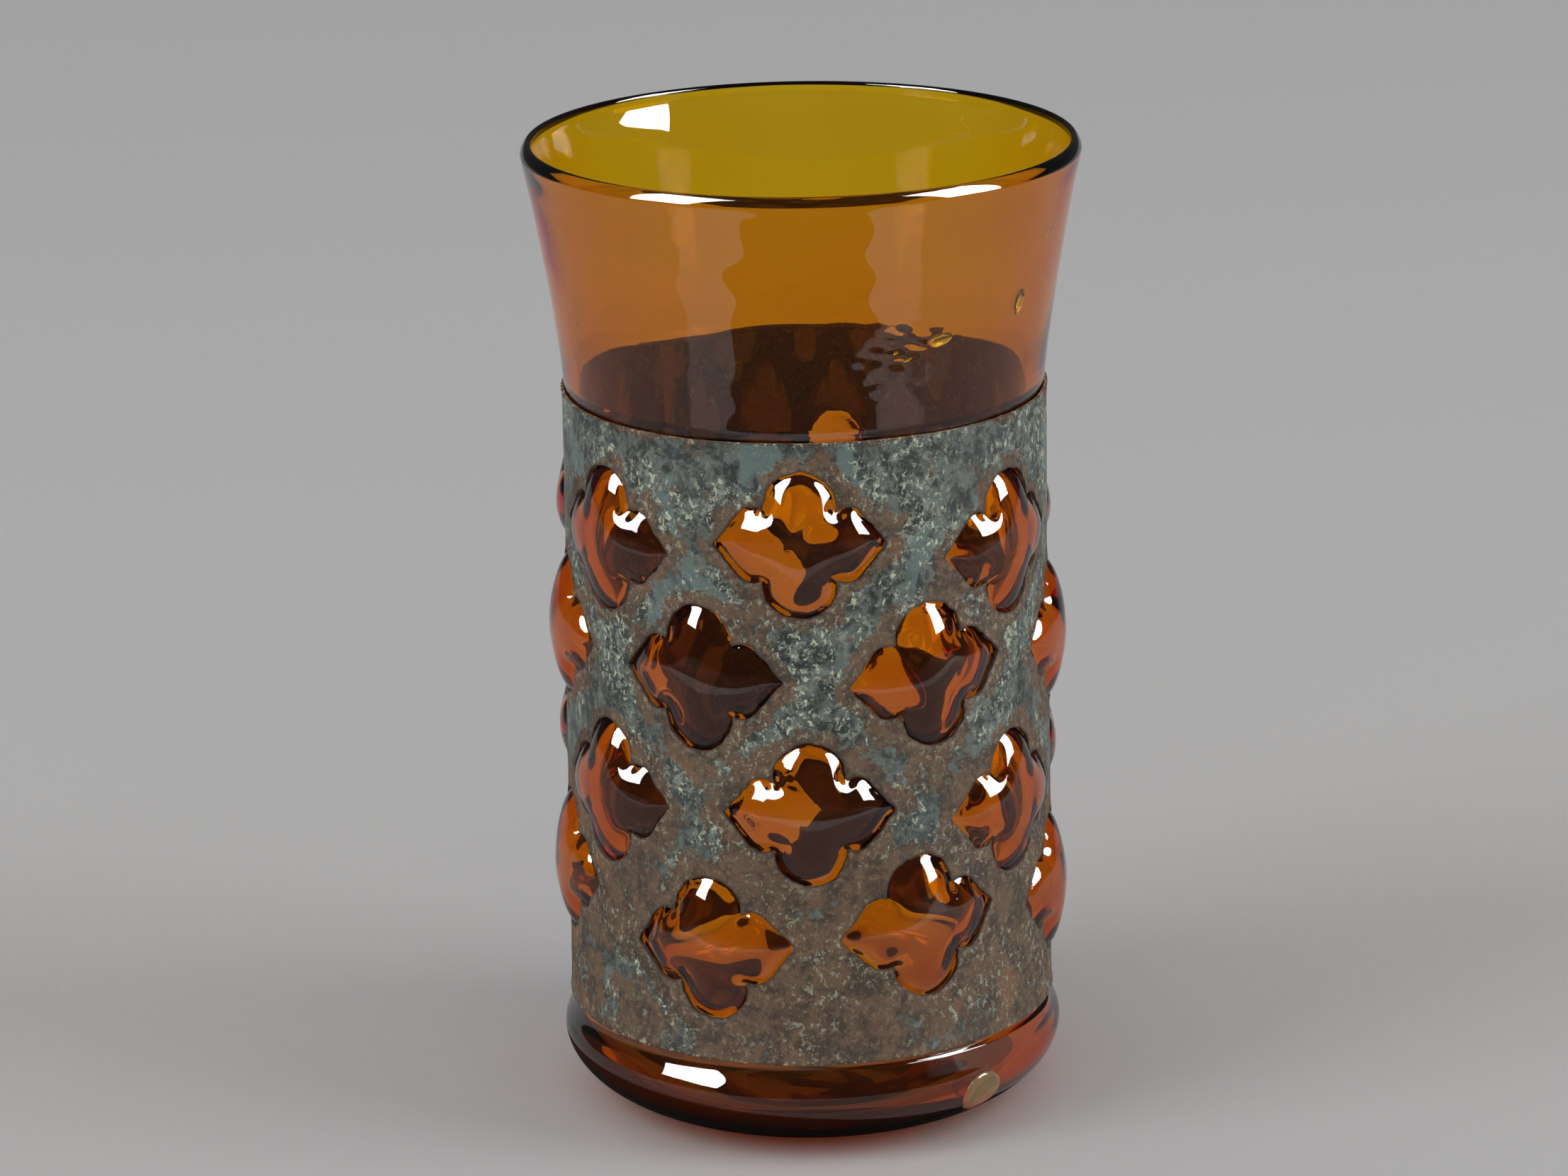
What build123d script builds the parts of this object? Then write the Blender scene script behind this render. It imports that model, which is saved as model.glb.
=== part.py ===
from build123d import *
import math
import os

# A tumbler of amber glass, blown by mouth into a sleeve of pierced iron sheet.
# The glass swells out through every opening, over the top edge and under the
# bottom edge, so the sleeve can never come off. Millimetres, +Z up, with the
# origin on the surface it stands on, under the centre of the glass. Azimuths
# are in degrees round +Z: 0 faces -Y, the front, and 90 faces +X.

# Driving dimensions
TOTAL_HEIGHT = 152.0
RIM_RADIUS = 42.5
SLEEVE_RADIUS = 37.1  # outside of the sheet at its top edge
SLEEVE_SPREAD = 0.9  # how much wider it is at its bottom edge
SLEEVE_BOTTOM = 16.4
SLEEVE_TOP = 113.9
SHEET = 0.55
GLASS_GAP = 0.08  # between the glass and the sheet round it

# Glass wall
WALL = 2.2
LIP = 1.7  # thickness of the fire-polished rim
BASE_WALL = 2.8  # thickness of the base, where the glass rolls under
WALL_IN_SHEET = SHEET + GLASS_GAP  # outside of the sheet to outside of the glass
NECK_STEP = 0.35  # how far the glass swells over the sheet's top edge
NECK_RISE = 1.0  # height over which it does so
UNDERCUT = 0.6  # height of the free glass between the sheet and the base's roll
FLARE_MIDDLE = (39.25, 133.0)  # radius and height of a point half way up the flare
MOUTH_CLEAR = 5.0  # how far the space inside is carried past the rim, to cut it open

# Base, an ellipse in section that rolls out from the foot to under the sleeve
FOOT_RADIUS = 20.8  # outer edge of the flat ring that it stands on
FOOT_WIDTH = 4.0
PUNT_RISE = 2.6  # hollow under the base
BASE_RADIUS = 39.1
BASE_WIDEST = 10.9  # height of the widest place
INNER_RISE = 3.0  # height over the base's roll at which the inside wall is upright

# Openings: an ogee quatrefoil, with round lobes above and below a pointed pair
LOBE_RADIUS = 5.4
LOBE_REACH = 11.35  # centre to the top of a round lobe
NOTCH = (5.4, 5.3)
SHOULDER = (7.7, 5.75)
SHOULDER_END = (9.5, 4.3)
TIP_REACH = 13.1
TIP_ROUND = 0.5

# The openings are cut by hand, so each row drifts. Each row gives the azimuths
# of its openings, their heights and how far each leans, anticlockwise.
OPENING_ROWS = (
    ((-109.0, -54.0, -1.5, 54.0, 113.0, 171.5), (94.0, 95.6, 98.2, 94.4, 91.5, 87.5), (0, 0, 0, 0, -2, 0)),
    ((-81.0, -26.0, 29.6, 85.0, 141.0, 197.0), (77.7, 77.0, 76.8, 75.0, 72.5, 70.0), (0, 0, 4, 0, 0, 2)),
    ((-108.0, -54.0, 0.0, 55.0, 110.5, 167.0), (57.5, 55.7, 56.3, 53.1, 53.0, 50.0), (2, 0, 0, 0, -3, 0)),
    ((-79.0, -24.0, 26.8, 80.5, 137.0, 194.0), (39.8, 34.4, 37.3, 34.9, 33.5, 32.0), (0, 4, 5, 0, 0, -2)),
)

# Swelling of the glass through an opening
SWELL = 2.7  # how far it stands out from the sheet
SWELL_REACH = 10.8  # centre to where the swelling meets the wall, above and below
SWELL_GAP = 0.15  # between the glass and the cut edge
HOLLOW_RADIUS = 14.0  # round hollow inside each swelling
HOLLOW_SKIN = 2.6  # glass left at the top of a swelling
STEM_ROOT = 6.2  # depth under the wall's outside at which a swelling's stem starts
STEM_LENGTH = 14.7
CUT_ROOT = 8.0  # depth under the sheet's outside at which the cut of an opening starts
CUT_LENGTH = 12.0

# Lap seam at the back left and the rivets that close it
SEAM_AZIMUTH = 224.0
LAP_WIDTH = 5.2
LAP_BITE = SHEET / 2  # how deep the lap's solid goes into the sheet under it
RIVET_COUNT = 5
RIVET_MARGIN = 6.0  # from the ends of the seam to the first and last rivet
RIVET_HEAD_RADIUS = 1.5
RIVET_HEAD_HEIGHT = 0.7
SHANK_RADIUS = 0.75
SHANK_CLEARANCE = 0.05
HOLE_DEPTH = 3.3  # length of the cutter for a rivet's hole
HEAD_GAP = 0.03  # between a rivet's head and the lap

# Clear self-adhesive dot on the side of the base
DOT_AZIMUTH = 42.0
DOT_ANGLE = 75.0  # round the base's ellipse, from straight down
DOT_RADIUS = 3.7
DOT_THICKNESS = 0.7
DOT_EDGE = 0.25
DOT_GAP = 0.02


def wall_plane(azimuth, height, radius):
    """Plane that faces straight out at this azimuth, with its Y along +Z."""
    a = math.radians(azimuth)
    out = (math.sin(a), -math.cos(a), 0)
    along = (math.cos(a), math.sin(a), 0)
    centre = (radius * out[0], radius * out[1], height)
    return Plane(origin=centre, x_dir=along, z_dir=out)


def sleeve_radius(height):
    """Outside radius of the sheet, which widens a little towards its bottom edge."""
    down = (SLEEVE_TOP - height) / (SLEEVE_TOP - SLEEVE_BOTTOM)
    return SLEEVE_RADIUS + SLEEVE_SPREAD * down


def body_radius(height):
    """Outside radius of the glass inside the sheet."""
    return sleeve_radius(height) - WALL_IN_SHEET


def base_point(angle, grow=0.0):
    """Radius and height on the base's ellipse, at an angle from straight down."""
    a = math.radians(angle)
    radius = FOOT_RADIUS + (BASE_RADIUS - FOOT_RADIUS + grow) * math.sin(a)
    height = BASE_WIDEST - (BASE_WIDEST + grow) * math.cos(a)
    return radius, height


def half_turned(points_and_arcs):
    """Solid of revolution round Z from edges given as (radius, height)."""
    outline = Wire(points_and_arcs)
    face = Plane.XZ * make_face(outline)
    return revolve(face, Axis.Z)


def outer_form(grow=0.0):
    """The outside of the glass, filled in, and grown all over by this much."""
    foot_inner = FOOT_RADIUS - FOOT_WIDTH
    base_curve = Spline(
        [base_point(angle, grow) for angle in (0, 18, 36, 54, 72, 90)],
        tangents=[(1, 0), (0, 1)],
    )
    under_sheet = SLEEVE_BOTTOM - UNDERCUT
    neck = (body_radius(under_sheet) + grow, under_sheet)
    shoulder = (body_radius(SLEEVE_TOP) + grow, SLEEVE_TOP)
    flare_start = (shoulder[0] + NECK_STEP, SLEEVE_TOP + NECK_RISE)
    lip_base = TOTAL_HEIGHT - LIP / 2
    lip_outer = (RIM_RADIUS + grow, lip_base)
    edges = [
        Line((0, PUNT_RISE - grow), (foot_inner / 2, PUNT_RISE - grow)),
        Line((foot_inner / 2, PUNT_RISE - grow), (foot_inner, -grow)),
        Line((foot_inner, -grow), (FOOT_RADIUS, -grow)),
        base_curve,
        Spline([base_point(90, grow), neck], tangents=[(0, 1), (0, 1)]),
        Line(neck, shoulder),
        Line(shoulder, flare_start),
        ThreePointArc(flare_start, (FLARE_MIDDLE[0] + grow, FLARE_MIDDLE[1]), lip_outer),
        ThreePointArc(
            lip_outer,
            (RIM_RADIUS - LIP / 2, TOTAL_HEIGHT + grow),
            (RIM_RADIUS - LIP - grow, lip_base),
        ),
        Line((RIM_RADIUS - LIP - grow, lip_base), (0, lip_base)),
        Line((0, lip_base), (0, PUNT_RISE - grow)),
    ]
    return half_turned(edges)


def inner_form():
    """The space inside the glass, up to past the rim. It follows the base's roll."""
    floor = PUNT_RISE + BASE_WALL
    foot_inner = FOOT_RADIUS - FOOT_WIDTH
    foot = base_point(0, -BASE_WALL)
    roll = base_point(90, -BASE_WALL)
    waist_height = SLEEVE_BOTTOM + INNER_RISE
    waist = (body_radius(waist_height) - WALL, waist_height)
    neck = (body_radius(SLEEVE_TOP) - WALL, SLEEVE_TOP + NECK_RISE)
    lip_base = TOTAL_HEIGHT - LIP / 2
    mouth = (RIM_RADIUS - LIP, lip_base)
    above = TOTAL_HEIGHT + MOUTH_CLEAR
    base_curve = Spline(
        [base_point(angle, -BASE_WALL) for angle in (0, 18, 36, 54, 72, 90)],
        tangents=[(1, 0), (0, 1)],
    )
    edges = [
        Line((0, floor), (foot_inner / 2, floor)),
        Line((foot_inner / 2, floor), foot),
        base_curve,
        Spline([roll, waist], tangents=[(0, 1), (0, 1)]),
        Line(waist, neck),
        ThreePointArc(neck, (FLARE_MIDDLE[0] - (WALL + LIP) / 2, FLARE_MIDDLE[1]), mouth),
        Line(mouth, (RIM_RADIUS - LIP, above)),
        Line((RIM_RADIUS - LIP, above), (0, above)),
        Line((0, above), (0, floor)),
    ]
    return half_turned(edges)


def quarter_outline(across, up):
    """One quarter of an opening's outline, mirrored by the signs given."""

    def place(x, y):
        return across * x, up * y

    lobe_centre = LOBE_REACH - LOBE_RADIUS
    side = math.radians(45)
    lobe_mid = (LOBE_RADIUS * math.sin(side), lobe_centre + LOBE_RADIUS * math.cos(side))
    return [
        ThreePointArc(place(0, LOBE_REACH), place(*lobe_mid), place(*NOTCH)),
        ThreePointArc(place(*NOTCH), place(*SHOULDER), place(*SHOULDER_END)),
        Line(place(*SHOULDER_END), place(TIP_REACH, 0)),
    ]


def quatrefoil():
    """Flat outline of one opening, with X round the sleeve and Y up."""
    edges = []
    for across in (1, -1):
        for up in (1, -1):
            edges += quarter_outline(across, up)
    outline = make_face(Wire(edges))
    tips = [v for v in outline.vertices() if abs(abs(v.X) - TIP_REACH) < 0.01]
    return fillet(tips, TIP_ROUND)


def openings():
    """Azimuth, height and lean of every opening."""
    for azimuths, heights, leans in OPENING_ROWS:
        yield from zip(azimuths, heights, leans)


def through_opening(shape, azimuth, height, lean, start, depth):
    """The shape carried straight out through the sleeve at an opening."""
    plane = wall_plane(azimuth, height, start)
    return extrude(plane * Rot(0, 0, lean) * shape, depth)


def swelling(outline, azimuth, height, lean):
    """Glass that stands out through one opening, as part of a ball."""
    wall = body_radius(height)
    top = sleeve_radius(height) + SWELL
    rise = top - wall
    ball_radius = (SWELL_REACH**2 + rise**2) / (2 * rise)
    centre = wall_plane(azimuth, height, top - ball_radius)
    ball = Pos(*centre.origin) * Sphere(ball_radius)
    stem = through_opening(outline, azimuth, height, lean, wall - STEM_ROOT, STEM_LENGTH)
    return ball & stem


def hollow(azimuth, height):
    """Round hollow behind one swelling, inside the vessel."""
    top = sleeve_radius(height) + SWELL - HOLLOW_SKIN
    centre = wall_plane(azimuth, height, top - HOLLOW_RADIUS)
    return Pos(*centre.origin) * Sphere(HOLLOW_RADIUS)


def glass_vessel(outline):
    stem_outline = offset(outline, amount=-SWELL_GAP)
    body = outer_form()
    body += [swelling(stem_outline, *place) for place in openings()]
    space = inner_form()
    space += [hollow(azimuth, height) for azimuth, height, lean in openings()]
    return body - space


def sheet_section(inner, outer):
    """Section of the sheet, from one offset to another from its outside."""
    top = sleeve_radius(SLEEVE_TOP)
    bottom = sleeve_radius(SLEEVE_BOTTOM)
    corners = [
        (bottom + inner, SLEEVE_BOTTOM),
        (bottom + outer, SLEEVE_BOTTOM),
        (top + outer, SLEEVE_TOP),
        (top + inner, SLEEVE_TOP),
    ]
    return Plane.XZ * make_face(Polyline(*corners, close=True))


def seam_angles():
    """First and last azimuth of the lap."""
    half = math.degrees(LAP_WIDTH / 2 / SLEEVE_RADIUS)
    return SEAM_AZIMUTH - half, SEAM_AZIMUTH + half


def seam_lap():
    """The sheet's end, laid over its beginning."""
    start, end = seam_angles()
    strip = revolve(sheet_section(-LAP_BITE, SHEET), Axis.Z, end - start)
    return Rot(0, 0, start - 90) * strip


def rivet_heights():
    first = SLEEVE_BOTTOM + RIVET_MARGIN
    step = (SLEEVE_TOP - SLEEVE_BOTTOM - 2 * RIVET_MARGIN) / (RIVET_COUNT - 1)
    return [first + step * i for i in range(RIVET_COUNT)]


def iron_sleeve(outline):
    sleeve = revolve(sheet_section(-SHEET, 0), Axis.Z)
    sleeve += seam_lap()
    cuts = []
    for azimuth, height, lean in openings():
        start = sleeve_radius(height) - CUT_ROOT
        cuts.append(through_opening(outline, azimuth, height, lean, start, CUT_LENGTH))
    for z in rivet_heights():
        plane = wall_plane(SEAM_AZIMUTH, z, sleeve_radius(z))
        cuts.append(plane * Cylinder(SHANK_RADIUS + SHANK_CLEARANCE, HOLE_DEPTH))
    return sleeve - cuts


def rivet():
    """One rivet along Z, with the underside of its head at 0."""
    ball = (RIVET_HEAD_RADIUS**2 + RIVET_HEAD_HEIGHT**2) / (2 * RIVET_HEAD_HEIGHT)
    head = Pos(0, 0, RIVET_HEAD_HEIGHT - ball) * Sphere(ball)
    head &= Pos(0, 0, RIVET_HEAD_HEIGHT) * Box(
        3 * RIVET_HEAD_RADIUS, 3 * RIVET_HEAD_RADIUS, 2 * RIVET_HEAD_HEIGHT
    )
    length = 2 * SHEET - SHANK_CLEARANCE
    return head + Pos(0, 0, -length / 2) * Cylinder(SHANK_RADIUS, length)


def seam_rivets():
    one = rivet()
    places = []
    for z in rivet_heights():
        radius = sleeve_radius(z) + SHEET + HEAD_GAP
        places.append(wall_plane(SEAM_AZIMUTH, z, radius) * one)
    return Compound(places)


def clear_dot():
    """Round dot whose back fits the curve of the base."""
    radius, height = base_point(DOT_ANGLE)
    a = math.radians(DOT_ANGLE)
    steep = math.degrees(
        math.atan2(math.cos(a) * (BASE_RADIUS - FOOT_RADIUS), math.sin(a) * BASE_WIDEST)
    )
    face = wall_plane(DOT_AZIMUTH, height, radius) * Rot(steep, 0, 0)
    disc = Pos(0, 0, -DOT_THICKNESS / 2) * Cylinder(DOT_RADIUS, 3 * DOT_THICKNESS)
    disc = fillet(disc.edges().sort_by(Axis.Z)[-1], DOT_EDGE)
    return face * disc - outer_form(DOT_GAP)


def save(node, shape):
    shape.label = node
    export_step(shape, f"parts/{node}.step")


if __name__ == "__main__":
    os.makedirs("parts", exist_ok=True)
    opening = quatrefoil()
    save("glass_vessel", glass_vessel(opening))
    save("iron_sleeve", iron_sleeve(opening))
    save("seam_rivets", seam_rivets())
    save("clear_dot", clear_dot())
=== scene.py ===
import math

import bpy
import numpy as np
from mathutils import Matrix, Vector, kdtree
from mathutils.geometry import delaunay_2d_cdt


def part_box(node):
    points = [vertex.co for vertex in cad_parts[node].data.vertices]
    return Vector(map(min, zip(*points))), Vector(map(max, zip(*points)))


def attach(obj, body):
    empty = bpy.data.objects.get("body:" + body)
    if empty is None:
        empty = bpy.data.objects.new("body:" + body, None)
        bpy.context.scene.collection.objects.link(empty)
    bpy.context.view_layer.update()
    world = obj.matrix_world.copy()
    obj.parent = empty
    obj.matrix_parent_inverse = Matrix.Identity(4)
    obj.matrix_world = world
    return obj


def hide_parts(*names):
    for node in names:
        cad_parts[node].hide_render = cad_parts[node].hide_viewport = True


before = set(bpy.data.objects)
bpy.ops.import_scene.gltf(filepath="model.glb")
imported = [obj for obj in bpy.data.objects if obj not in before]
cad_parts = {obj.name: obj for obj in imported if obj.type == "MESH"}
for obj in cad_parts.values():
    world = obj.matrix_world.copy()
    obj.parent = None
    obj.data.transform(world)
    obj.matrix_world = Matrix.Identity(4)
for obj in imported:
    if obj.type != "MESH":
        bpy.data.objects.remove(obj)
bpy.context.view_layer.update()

# A tumbler of amber glass blown into a sleeve of pierced iron sheet. Metres, in
# the frame of the CAD model: +Z up, and an azimuth of 0 faces -Y, the front.

MM = 0.001
TURN = 2 * math.pi

# Sizes that the frame gives
SLEEVE_LOW, SLEEVE_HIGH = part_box("iron_sleeve")
GLASS_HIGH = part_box("glass_vessel")[1]
DOT_LOW, DOT_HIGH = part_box("clear_dot")
RIVETS_LOW, RIVETS_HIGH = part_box("seam_rivets")
SLEEVE_BOTTOM = SLEEVE_LOW.z
SLEEVE_TOP = SLEEVE_HIGH.z
RIM_RADIUS = GLASS_HIGH.x
HEIGHT = GLASS_HIGH.z

# The glass
WALL = 2.2 * MM
FLARE_WALL = 1.8 * MM  # blown thinner where it opens out
FLARE_THINS = 14 * MM  # height above the sleeve over which it does so
FLARE_MIDDLE = (39.25 * MM, 133.0 * MM)  # radius and height half way up the flare
NECK_STEP = 0.35 * MM  # how far the glass swells over the sheet's top edge
NECK_RISE = 1.0 * MM
UNDERCUT = 0.6 * MM  # height of the free glass between the sheet and the base's roll
BASE_WALL = 2.8 * MM
BASE_RADIUS = 39.1 * MM
BASE_WIDEST = 10.9 * MM  # height of the widest place
FOOT_RADIUS = 20.8 * MM
FOOT_INNER = 16.8 * MM
PUNT_RISE = 2.6 * MM  # hollow under the base
INNER_RISE = 3.0 * MM  # over the base's roll, where the inside wall is upright
SWELL = 2.7 * MM  # how far the glass stands out through an opening

# The fire-polished rim: its thickness, then the radii of its outside
LIP = 1.7 * MM
LIP_TOP = 0.5 * MM
LIP_FACE = 2.9 * MM
LIP_TURN = 0.8 * MM
LIP_DROP = 1.7 * MM  # from the top down to the widest place
FACE_TILT = 44  # degrees over level where the slanting face starts
TURN_TILT = 14  # and where it ends

# The sheet
SHEET = 0.55 * MM
GLASS_GAP = 0.08 * MM  # between the glass and the sheet round it
LAP = 5.2 * MM
LAP_GAP = 0.04 * MM
CUT_DEPTH = 0.13 * MM  # the chisel's wobble round an opening
OPENING_SPAN = (15 * MM, 40 * MM)  # least and most width and height of an opening


def edge_radius(z):
    """Outside radius of the CAD sleeve's edge at this height, away from its seam."""
    points = [v.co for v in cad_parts["iron_sleeve"].data.vertices]
    return max(math.hypot(p.x, p.y) for p in points if abs(p.z - z) < 0.1 * MM and p.x > 0)


TOP_RADIUS = edge_radius(SLEEVE_TOP)
BOTTOM_RADIUS = edge_radius(SLEEVE_BOTTOM)
UNROLLED = (TOP_RADIUS + BOTTOM_RADIUS) / 2  # lengths round the sleeve are azimuth x this
ROUND = TURN * UNROLLED


def sleeve_radius(z):
    """Outside radius of the sheet, which widens a little towards its bottom edge."""
    down = (SLEEVE_TOP - z) / (SLEEVE_TOP - SLEEVE_BOTTOM)
    return TOP_RADIUS + (BOTTOM_RADIUS - TOP_RADIUS) * down


def body_radius(z):
    """Outside radius of the glass within the sheet."""
    return sleeve_radius(z) - SHEET - GLASS_GAP


# ---------------------------------------------------------------- small tools

def smooth_step(t):
    t = np.clip(t, 0.0, 1.0)
    return t * t * (3 - 2 * t)


def fade(value, start, length):
    """Rises smoothly from 0 at start to 1 a length further on."""
    return smooth_step((value - start) / length)


def azimuth_of(x, y):
    """Azimuth in radians, 0 at the front and growing to the right."""
    return np.arctan2(x, -y)


def middle_azimuth(low, high):
    """Azimuth of the middle of a box."""
    return float(azimuth_of((low.x + high.x) / 2, (low.y + high.y) / 2))


def on_cylinder(radius, azimuth, height):
    """Points for arrays of radius, azimuth and height."""
    parts = np.broadcast_arrays(radius * np.sin(azimuth), -radius * np.cos(azimuth), height)
    return np.stack(parts, -1)


def ripple(azimuth, height, seed, lengths, upright=1.0):
    """Smooth random relief of about unit size that closes round the glass.

    lengths are the shortest and longest wave. upright stretches the waves along Z.
    """
    rng = np.random.default_rng(seed)
    total = np.zeros(np.broadcast(azimuth, height).shape)
    count = 40
    for _ in range(count):
        length = rng.uniform(*lengths)
        turn = rng.uniform(0, TURN)
        phase = rng.uniform(0, TURN)
        waves = round(math.cos(turn) * ROUND / length)
        climb = math.sin(turn) * TURN / (length * upright)
        total += np.cos(waves * azimuth + climb * height + phase)
    return total / math.sqrt(count / 2)


def mesh_object(name, points, faces, smooth=True):
    mesh = bpy.data.meshes.new(name)
    mesh.from_pydata([tuple(p) for p in points], [], faces)
    mesh.validate()
    mesh.update()
    if smooth:
        mesh.shade_smooth()
    piece = bpy.data.objects.new(name, mesh)
    bpy.context.scene.collection.objects.link(piece)
    return piece


def ring_faces(start, rings, sides, inward=False):
    """Faces between rings of points that are numbered from start, ring by ring."""
    faces = []
    for ring in range(rings):
        here = start + ring * sides
        ahead = here + sides
        for side in range(sides):
            beside = (side + 1) % sides
            a, b, c, d = here + side, ahead + side, ahead + beside, here + beside
            faces.append((a, d, c, b) if inward else (a, b, c, d))
    return faces


def point_attribute(mesh, name, values):
    layer = mesh.attributes.new(name, "FLOAT", "POINT")
    layer.data.foreach_set("value", np.asarray(values, np.float32))


def vertex_array(mesh):
    points = np.empty(len(mesh.vertices) * 3)
    mesh.vertices.foreach_get("co", points)
    return points.reshape(-1, 3)


# ------------------------------------------------------------ openings in CAD

def boundary_loops(edges):
    """Chains edges, as pairs of point numbers, into closed loops."""
    beside = {}
    for a, b in edges:
        beside.setdefault(a, []).append(b)
        beside.setdefault(b, []).append(a)
    loops = []
    done = set()
    for start in beside:
        loop = []
        ahead = [] if start in done else [start]
        while ahead:
            here = ahead[0]
            done.add(here)
            loop.append(here)
            ahead = [point for point in beside[here] if point not in done]
        if loop:
            loops.append(loop)
    return loops


def outer_face_edges(mesh, points, same):
    """The edges where the sheet's outer face ends, as pairs of shared point numbers."""
    reach = np.hypot(points[:, 0], points[:, 1])
    at_surface = np.abs(reach - sleeve_radius(points[:, 2])) < 0.03 * MM
    uses = {}
    for face in mesh.polygons:
        corners = list(face.vertices)
        if not all(at_surface[c] for c in corners):
            continue
        for a, b in zip(corners, corners[1:] + corners[:1]):
            key = tuple(sorted((same[a], same[b])))
            uses[key] = uses.get(key, 0) + 1
    return [key for key, count in uses.items() if count == 1]


def cad_outlines():
    """Each opening's outline on the sheet's outer face, as (azimuth, height) points."""
    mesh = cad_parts["iron_sleeve"].data
    points = vertex_array(mesh)
    _, first, same = np.unique(np.round(points, 6), axis=0, return_index=True, return_inverse=True)
    outlines = []
    for loop in boundary_loops(outer_face_edges(mesh, points, same.ravel())):
        at = points[first[loop]]
        azimuth = np.unwrap(azimuth_of(at[:, 0], at[:, 1]))
        wide = np.ptp(azimuth) * UNROLLED
        tall = np.ptp(at[:, 2])
        least, most = OPENING_SPAN
        if least < wide < most and least < tall < most:
            outlines.append(np.stack([azimuth, at[:, 2]], -1))
    # In steps of height, then round the sleeve, so that each opening keeps its own seed
    outlines.sort(key=lambda o: (round(-o[:, 1].mean() * 60), o[:, 0].mean()))
    return outlines


def resampled(outline, spacing):
    """The closed outline with points at even spacing."""
    closed = np.vstack([outline, outline[:1]])
    lengths = np.hypot(*np.diff(closed, axis=0).T)
    along = np.concatenate([[0], np.cumsum(lengths)])
    count = int(along[-1] / spacing)
    at = np.linspace(0, along[-1], count, endpoint=False)
    return np.stack([np.interp(at, along, closed[:, i]) for i in (0, 1)], -1)


def hand_cut(outline, seed):
    """The outline with the small wobble and nicks of a chisel."""
    ahead = np.roll(outline, -1, axis=0) - np.roll(outline, 1, axis=0)
    normal = np.stack([ahead[:, 1], -ahead[:, 0]], -1)
    normal /= np.linalg.norm(normal, axis=1)[:, None]
    rng = np.random.default_rng(seed)
    turn = np.linspace(0, TURN, len(outline), endpoint=False)
    wobble = np.zeros(len(outline))
    for waves in range(3, 60):
        size = rng.normal() / (1 + waves / 9) ** 1.1
        wobble += size * np.cos(waves * turn + rng.uniform(0, TURN))
    return outline + normal * (wobble * CUT_DEPTH / 2.2)[:, None]


def anticlockwise(outline):
    """The outline, turned round if it runs clockwise."""
    x, y = outline.T
    area = np.sum(x * np.roll(y, -1) - y * np.roll(x, -1))
    return outline if area > 0 else outline[::-1]


def inside(points, outline):
    """For each (u, z) point, whether it lies within the outline."""
    hit = np.zeros(len(points), bool)
    x, y = points.T
    ax, ay = outline.T
    bx, by = np.roll(ax, -1), np.roll(ay, -1)
    for i in np.flatnonzero(ay != by):
        crosses = (ay[i] > y) != (by[i] > y)
        across = (bx[i] - ax[i]) * (y - ay[i]) / (by[i] - ay[i]) + ax[i]
        hit ^= crosses & (x < across)
    return hit


def within_any(points, outlines):
    """For each (u, z) point, whether it lies within one of the outlines."""
    found = np.zeros(len(points), bool)
    for outline in outlines:
        low, high = outline.min(0), outline.max(0)
        near = np.flatnonzero(np.all((points > low) & (points < high), axis=1))
        found[near] |= inside(points[near], outline)
    return found


def read_openings():
    """Unrolled outlines of the openings, as points of u = azimuth x radius and height."""
    outlines = []
    for index, outline in enumerate(cad_outlines()):
        outline = anticlockwise(outline * (UNROLLED, 1))
        outline = resampled(outline, 0.4 * MM)
        outlines.append(hand_cut(outline, 100 + index))
    return outlines


OPENINGS = read_openings()


# ------------------------------------------------------------- swelling field

def neighbours(field):
    """Sum of the four cells beside each cell."""
    return (
        np.roll(field, 1, 0) + np.roll(field, -1, 0)
        + np.roll(field, 1, 1) + np.roll(field, -1, 1)
    )


def softened(field, times):
    for _ in range(times):
        field = (4 * field + neighbours(field)) / 8
    return field


def blown(open_here):
    """Relaxes a stretched skin under even pressure, held at the edge of the opening."""
    rounds, pressure = 900, 0.004
    height = np.zeros(open_here.shape)
    for _ in range(rounds):
        height = np.where(open_here, neighbours(height) / 4 + pressure, 0)
    return height / height.max()


def without_edge(area):
    """The area without the cells at its edge."""
    for axis in (0, 1):
        area = area & np.roll(area, 1, axis) & np.roll(area, -1, axis)
    return area


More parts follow.
